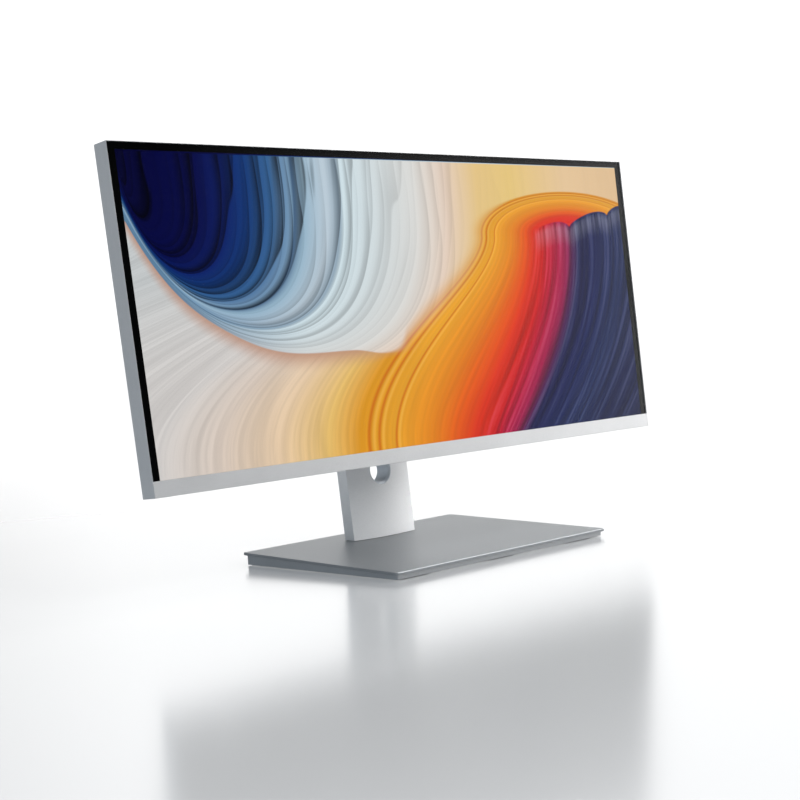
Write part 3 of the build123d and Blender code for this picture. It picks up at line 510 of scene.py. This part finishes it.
# %% Put the fields on the slab
HIDDEN_RIM = 3 * MM
shown_low = np.array([cell_low[0] + HIDDEN_RIM, glass_low[1]])
shown_high = np.array([cell_high[0] - HIDDEN_RIM, cell_high[1] - HIDDEN_RIM])
grid_x, grid_y = np.meshgrid(np.linspace(cell_low[0], cell_high[0], GRID_ACROSS),
                             np.linspace(cell_low[1], cell_high[1], GRID_UP))
grid_x = (grid_x - shown_low[0]) / (shown_high[0] - shown_low[0])
grid_y = (grid_y - shown_low[1]) / (shown_high[1] - shown_low[1])
for field, values in picture_fields(np.clip(grid_x, 0, 1), np.clip(grid_y, 0, 1)).items():
    flat = values.reshape(-1)
    layer = display.data.attributes.new(field, "FLOAT", "POINT")
    layer.data.foreach_set("value", np.concatenate([flat, flat[display_rim]]).astype(np.float32))
    print(field, round(float(values.min()), 3), "to", round(float(values.max()), 3))

# %% [markdown]
# Now the colours. Each layer has a ramp along its own field, the way dye would run along cloth, then its
# folds are shaded. A fold is a sawtooth along the field: a dark valley at its foot, a bright crest, and a
# slow fade. Stretching noise along the folds breaks up their regularity, and a second, finer set gives hair
# lines. The layers are then laid over one another, and the cloth throws a soft shadow on what is behind it.
# The display is hidden from blurred reflections, so that the table's image of the monitor stays grey.


# %% Picture colours
def folds(f, level, along, count, wander, seed, soften=0.07):
    """Shade from 0 in a valley to 1 on a crest: sawtooth of count * level + wander * noise, its jump a
    steep rise over the share soften of each fold."""
    place = f.node("ShaderNodeCombineXYZ", None, [level * 5.0 + seed, along * 0.9, seed])
    drift = f.node("ShaderNodeTexNoise", None, {"Vector": place, "Scale": 1.0, "Detail": 2.0})
    tooth = (level * count + drift * wander).math("FRACT")
    return tooth.step(0.0, soften) * (1 - tooth) ** 0.8


def hair(f, level, along, count, seed):
    """Fine lines along the folds: noise stretched far more along than across."""
    place = f.node("ShaderNodeCombineXYZ", None, [level * count + seed, along * 1.6, seed])
    return f.node("ShaderNodeTexNoise", None, {
        "Vector": place, "Scale": 1.0, "Detail": 3.0, "Roughness": 0.6})


def ramp(f, value, low, high, stops):
    """Colour along a value from low to high, its stops being (value, web colour)."""
    share = (value - low) / (high - low)
    spread = [((place - low) / (high - low), linear(colour)) for place, colour in stops]
    return f.node("ShaderNodeValToRGB", {"stops": spread}, [share])


CLOTH_END, PAINT_START, PAINT_END, SHOULDER_START = 2.35, -0.6, 0.68, 0.55
CLOTH = [
    (0.0, "020226"), (0.28, "020536"), (0.38, "05154e"), (0.47, "0c2d62"), (0.57, "2b5079"),
    (0.655, "66829a"), (0.662, "35506e"), (0.7, "7d97a8"), (0.8, "a3b1bb"), (0.86, "7f93a2"),
    (0.866, "b9c9cf"), (1.0, "c6d0d3"), (1.2, "d6d6d3"), (1.36, "dfcab8"), (1.52, "e3c385"),
    (1.7, "e6c67c"), (2.0, "e5c599"), (CLOTH_END, "dfbd92")]
PAINT = [
    (PAINT_START, "c6cacb"), (0.0, "d3cfcc"), (0.1, "d8c9bc"), (0.2, "e2c7a6"), (0.29, "e6bd6c"),
    (0.35, "e0981f"), (0.42, "e8a22a"), (0.49, "e6881a"), (0.54, "e25e0e"), (0.585, "dd300c"),
    (0.64, "d41c14"), (PAINT_END, "b81440")]
SHOULDER = [
    (SHOULDER_START, "e25e0e"), (0.59, "dc2c0c"), (0.625, "d01612"), (0.65, "c00e38"),
    (0.682, "a21650"), (0.698, "501850"), (0.713, "14154a"), (0.76, "101c54"), (0.82, "1c2a58"),
    (0.9, "141c48"), (1.0, "1e244c")]


def shade(f, colour, light, low, high):
    """Colour times a grey that runs from low to high with light."""
    grey = f.node("ShaderNodeCombineXYZ", None, [light * (high - low) + low] * 3)
    return f.node("ShaderNodeVectorMath", {"operation": "MULTIPLY"}, [colour, grey])


def poured_paint(f, read):
    """The layer behind: pale to orange to red along the flow, with three raised rims and the hem's shadow."""
    flow, across, up = read["flow"], read["across"], read["up"]
    back = ramp(f, flow, PAINT_START, PAINT_END, PAINT)
    back_folds = (folds(f, flow, up, 9, 3.0, 3.1, 0.25) * 0.4
                  + hair(f, flow, up, 100, 7.7).step(0.3, 0.7) * 0.6)
    back = shade(f, back, back_folds, 0.86, 1.12)
    for place, width in ((0.366, 0.006), (0.386, 0.005), (0.42, 0.004)):
        line = 1 - ((flow - place) / width).math("ABSOLUTE").step(0.0, 1.0)
        back = f.mix(line * 0.7, back, (*linear("c85c08"), 1))
        glow = 1 - ((flow - place - width * 1.6) / width).math("ABSOLUTE").step(0.0, 1.0)
        back = f.mix(glow * 0.35, back, (*linear("f8c45c"), 1))
    shadow = read["hem_below"].step(-0.02, 0.07) + across.step(0.36, 0.5)
    return f.mix(shadow.math("MINIMUM", 1.0), (0.5, 0.27, 0.18, 1), back)


def dark_shoulder(f, read):
    """The dark blue layer at the right, its folds lit along the crest."""
    ridge, up = read["ridge"], read["up"]
    front = ramp(f, ridge, SHOULDER_START, 1.0, SHOULDER)
    front_folds = (folds(f, ridge, up, 27, 2.6, 5.3, 0.35) * 0.5
                   + hair(f, ridge, up, 130, 2.2).step(0.3, 0.7) * 0.5)
    front = shade(f, front, front_folds, 0.4, 1.5)
    front = f.mix(front_folds.step(0.45, 1.0) * 0.25, front, (0.22, 0.24, 0.4, 1))
    crest = read["ridge_edge"].step(0.0, 9.0) * (1 - read["ridge_edge"].step(10.0, 34.0))
    return f.mix(crest * front_folds * 0.3, front, (0.5, 0.52, 0.62, 1))


def hanging_cloth(f, read):
    """The cloth at the top left, dark blue to white: deep folds where it is dark, faint ones where pale."""
    drape, across, up = read["drape"], read["across"], read["up"]
    cloth = ramp(f, drape, 0.0, CLOTH_END, CLOTH)
    tuck = (1 - across.step(0.03, 0.3)) * drape.step(0.66, 0.8)
    cloth = f.mix(tuck, cloth, (*linear("5c7f9c"), 1))
    cloth_folds = (folds(f, drape, across - up, 9, 3.6, 1.3) * 0.45
                   + folds(f, drape, across - up, 21, 4.0, 6.3) * 0.25
                   + hair(f, drape, across - up, 60, 4.4) * 0.3).step(0.12, 0.72)
    depth = 1 - drape.step(0.55, 1.15)
    dark = shade(f, cloth, cloth_folds, 0.12, 1.6)
    pale = shade(f, cloth, cloth_folds, 0.86, 1.08)
    plain = f.mix(drape.step(1.3, 1.6) * 0.85, pale, cloth)
    return f.mix(depth, plain, dark)


def picture():
    """The whole picture as an emission, dark panel below it."""
    f = Finish("moving_cloth_picture")
    read = {name: f.node("ShaderNodeAttribute", {"attribute_name": name}).other("Fac")
            for name in ("drape", "flow", "ridge", "hem_below", "across", "up", "drape_edge", "ridge_edge")}
    over = read["ridge_edge"].step(-0.7, 0.7) * read["ridge"].step(0.57, 0.64)
    colour = f.mix(over, poured_paint(f, read), dark_shoulder(f, read))
    colour = f.mix(read["drape_edge"].step(-1.0, 1.0), colour, hanging_cloth(f, read))
    return f.close(f.node("ShaderNodeBsdfPrincipled", None, {
        "Base Color": (0.002, 0.002, 0.003, 1),
        "Roughness": 0.3 + hair(f, read["drape"], read["up"], 20, 9.9) * 0.05,
        "Specular IOR Level": 0.0, "Emission Color": colour, "Emission Strength": 1.0}))


display.data.materials.append(picture())
display.visible_glossy = False
display.visible_diffuse = False
for inner in ("diffuser_films", "light_guide", "reflector_sheet", "led_strip", "panel_chassis",
              "mounting_frame", "heat_sink", "main_board", "driver_board", "timing_board", "board_standoffs"):
    nodes[inner].visible_glossy = False
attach(display, "head")
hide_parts("lcd_cell")
print(display.name, "rides on head in place of lcd_cell")

# %% [markdown]
# The table is a pale sheet with a soft sheen, so it carries a blurred grey image of the monitor. Its sheen
# is stronger at a low angle, like lacquered board. It runs far past the view on every side, and turns into
# plain white light between one and two and a half metres out, so that no horizon shows.


# %% Table
TABLE_REACH = 60.0
HAZE_RADII = (0.9, 2.6)


def pale_table(name):
    """White lacquer: a diffuse body under a blurred gloss whose share grows at a low angle."""
    f = Finish(name)
    cloud = f.noise(1.4, 2)
    facing = f.node("ShaderNodeLayerWeight", None, {"Blend": 0.5}).other("Facing")
    white = f.mix(cloud, (0.86, 0.86, 0.86, 1), (0.9, 0.9, 0.9, 1))
    body = f.node("ShaderNodeBsdfDiffuse", None, {"Color": white})
    gloss = f.node("ShaderNodeBsdfAnisotropic", {"distribution": "MULTI_GGX"}, {
        "Color": (0.97, 0.97, 0.97, 1), "Roughness": 0.15 + cloud * 0.04})
    share = 0.05 + facing ** 3.0 * 0.95
    near = f.node("ShaderNodeMixShader", None, {0: share, 1: body, 2: gloss})
    radius = f.node("ShaderNodeVectorMath", {"operation": "LENGTH"}, [f.place()]).other("Value")
    haze = f.node("ShaderNodeEmission", None, {"Color": (1, 1, 1, 1), "Strength": 1.05})
    return f.close(f.node("ShaderNodeMixShader", None, {0: radius.step(*HAZE_RADII), 1: near, 2: haze}))


def grid_sheet(name, size, count):
    """Level sheet at height zero, a little denser in the middle: place = size * t |t|, t from -1 to 1."""
    t = np.linspace(-1, 1, count)
    x, y = np.meshgrid(size * t * np.abs(t), size * t * np.abs(t))
    points = np.stack([x, y, np.zeros_like(x)], -1).reshape(-1, 3)
    index = np.arange(count * count).reshape(count, count)
    quads = np.stack([index[:-1, :-1], index[:-1, 1:], index[1:, 1:], index[1:, :-1]], -1).reshape(-1, 4)
    mesh = bpy.data.meshes.new(name)
    mesh.from_pydata(points.tolist(), [], quads.tolist())
    sheet = bpy.data.objects.new(name, mesh)
    bpy.context.scene.collection.objects.link(sheet)
    return sheet


table = grid_sheet("studio_table", TABLE_REACH, 41)
table.data.materials.append(pale_table("pale_lacquer"))
table.visible_glossy = False
print("table reaches", TABLE_REACH, "m each way")

# %% [markdown]
# The studio: a white surround that is brightest to the right, where a very large softbox would stand, and
# falls away to the left, so that the glass is black on one side and greyish on the other. It is made as a
# ramp on the angle from the softbox's middle, with a bright patch low at the right, a glint high up that
# only draws the edges, and a lit floor ahead. The camera itself always sees plain white behind. Two large
# lamps add the soft light that falls on the table and on the front; they don't show in reflections.


# %% Surround and lamps
SOFTBOX_AZIMUTH = radians(15)
PATCH, GLINT, FLOOR_AHEAD = (0.957, -0.203, 0.208), (0.68, -0.15, 0.72), (0.866, -0.5, 0.0)
WORLD_STRENGTH = 1.15
GREY_LEVELS = [(0.0, (0.38, 0.42, 0.46)), (0.26, (0.36, 0.40, 0.44)), (0.5, (0.24, 0.26, 0.28)),
               (0.68, (0.0, 0.0, 0.0)), (0.74, (0.22, 0.22, 0.22)), (0.82, (0.78, 0.78, 0.78)),
               (0.87, (1.06, 1.06, 1.06))]


def studio_surround():
    """World light by the cosine of the angle from the softbox's middle; plain white to the camera."""
    world = bpy.data.worlds.new("studio_surround")
    bpy.context.scene.world = world
    f = Finish(world.name, world)
    direction = f.node("ShaderNodeTexCoord").other("Generated")

    def toward(axis):
        """Cosine of the angle between the direction and an axis."""
        return f.node("ShaderNodeVectorMath", {"operation": "DOT_PRODUCT"}, [direction, axis]).other("Value")

    softbox_axis = (cos(SOFTBOX_AZIMUTH), sin(SOFTBOX_AZIMUTH), 0.0)
    light = f.node("ShaderNodeValToRGB", {"stops": GREY_LEVELS}, [toward(softbox_axis) * 0.5 + 0.5])
    light = f.mix(toward(PATCH).step(0.94, 0.995), light, (6.0, 6.0, 6.0, 1))
    gloss_only = f.node("ShaderNodeLightPath").other("Is Glossy Ray")
    light = f.mix(toward(GLINT).step(0.92, 0.99) * gloss_only, light, (8.0, 8.0, 8.0, 1))
    height = f.node("ShaderNodeSeparateXYZ", None, [direction]).other("Z")
    lit_floor = (0 - height).step(0.0, 0.12) * toward(FLOOR_AHEAD).step(0.84, 0.97)
    light = f.mix(lit_floor, light, (1.25, 1.25, 1.25, 1))
    camera_sees = f.node("ShaderNodeLightPath").other("Is Camera Ray")
    both = f.mix(camera_sees, light, (1, 1, 1, 1))
    f.close(f.node("ShaderNodeBackground", None, {"Color": both, "Strength": WORLD_STRENGTH}))


def softbox(name, place, aim, side, watts):
    """Square lamp at a place, turned to face a point; side in metres."""
    lamp = bpy.data.lights.new(name, "AREA")
    lamp.shape, lamp.size, lamp.energy = "SQUARE", side, watts
    stand = bpy.data.objects.new(name, lamp)
    stand.location = place
    stand.rotation_euler = (Vector(aim) - Vector(place)).to_track_quat("-Z", "Y").to_euler()
    bpy.context.scene.collection.objects.link(stand)
    return stand


studio_surround()
middle = (cad_low + cad_high) / 2
overhead = softbox("overhead_softbox", (0.3, 0.2, 2.6), middle, 3.6, 22)
key = softbox("key_softbox", (0.9, -5.6, 3.2), middle, 3.2, 210)
for lamp in (overhead, key):
    lamp.visible_glossy = False
    print(lamp.name, lamp.data.energy, "W")

# %% [markdown]
# The camera stands low, to the left and in front, with a long lens. It is tipped a little, and its view is
# shifted upwards as on a studio camera, which puts the table's reflection in the lower third.

# %% Camera
CAMERA_PLACE = Vector((-1.302234, -1.319122, 0.26922))
YAW, PITCH, ROLL = radians(43.579), radians(-8.781), radians(-3.709)
SENSOR, FOCAL, SHIFT = 36.0, 69.605, 0.2077
forward = Vector((sin(YAW) * cos(PITCH), cos(YAW) * cos(PITCH), sin(PITCH)))
level_right = forward.cross(Vector((0, 0, 1))).normalized()
level_up = level_right.cross(forward)
right = cos(ROLL) * level_right + sin(ROLL) * level_up
upward = -sin(ROLL) * level_right + cos(ROLL) * level_up
camera_data = bpy.data.cameras.new("studio_camera")
camera_data.sensor_width, camera_data.lens, camera_data.shift_y = SENSOR, FOCAL, SHIFT
camera_data.clip_end = 500.0
camera = bpy.data.objects.new("studio_camera", camera_data)
camera.matrix_world = Matrix((right, upward, -forward)).transposed().to_4x4()
camera.location = CAMERA_PLACE
bpy.context.scene.collection.objects.link(camera)
bpy.context.scene.camera = camera
bpy.context.scene.view_settings.view_transform = "Standard"
print("camera", [round(v, 3) for v in camera.location], "lens", FOCAL)
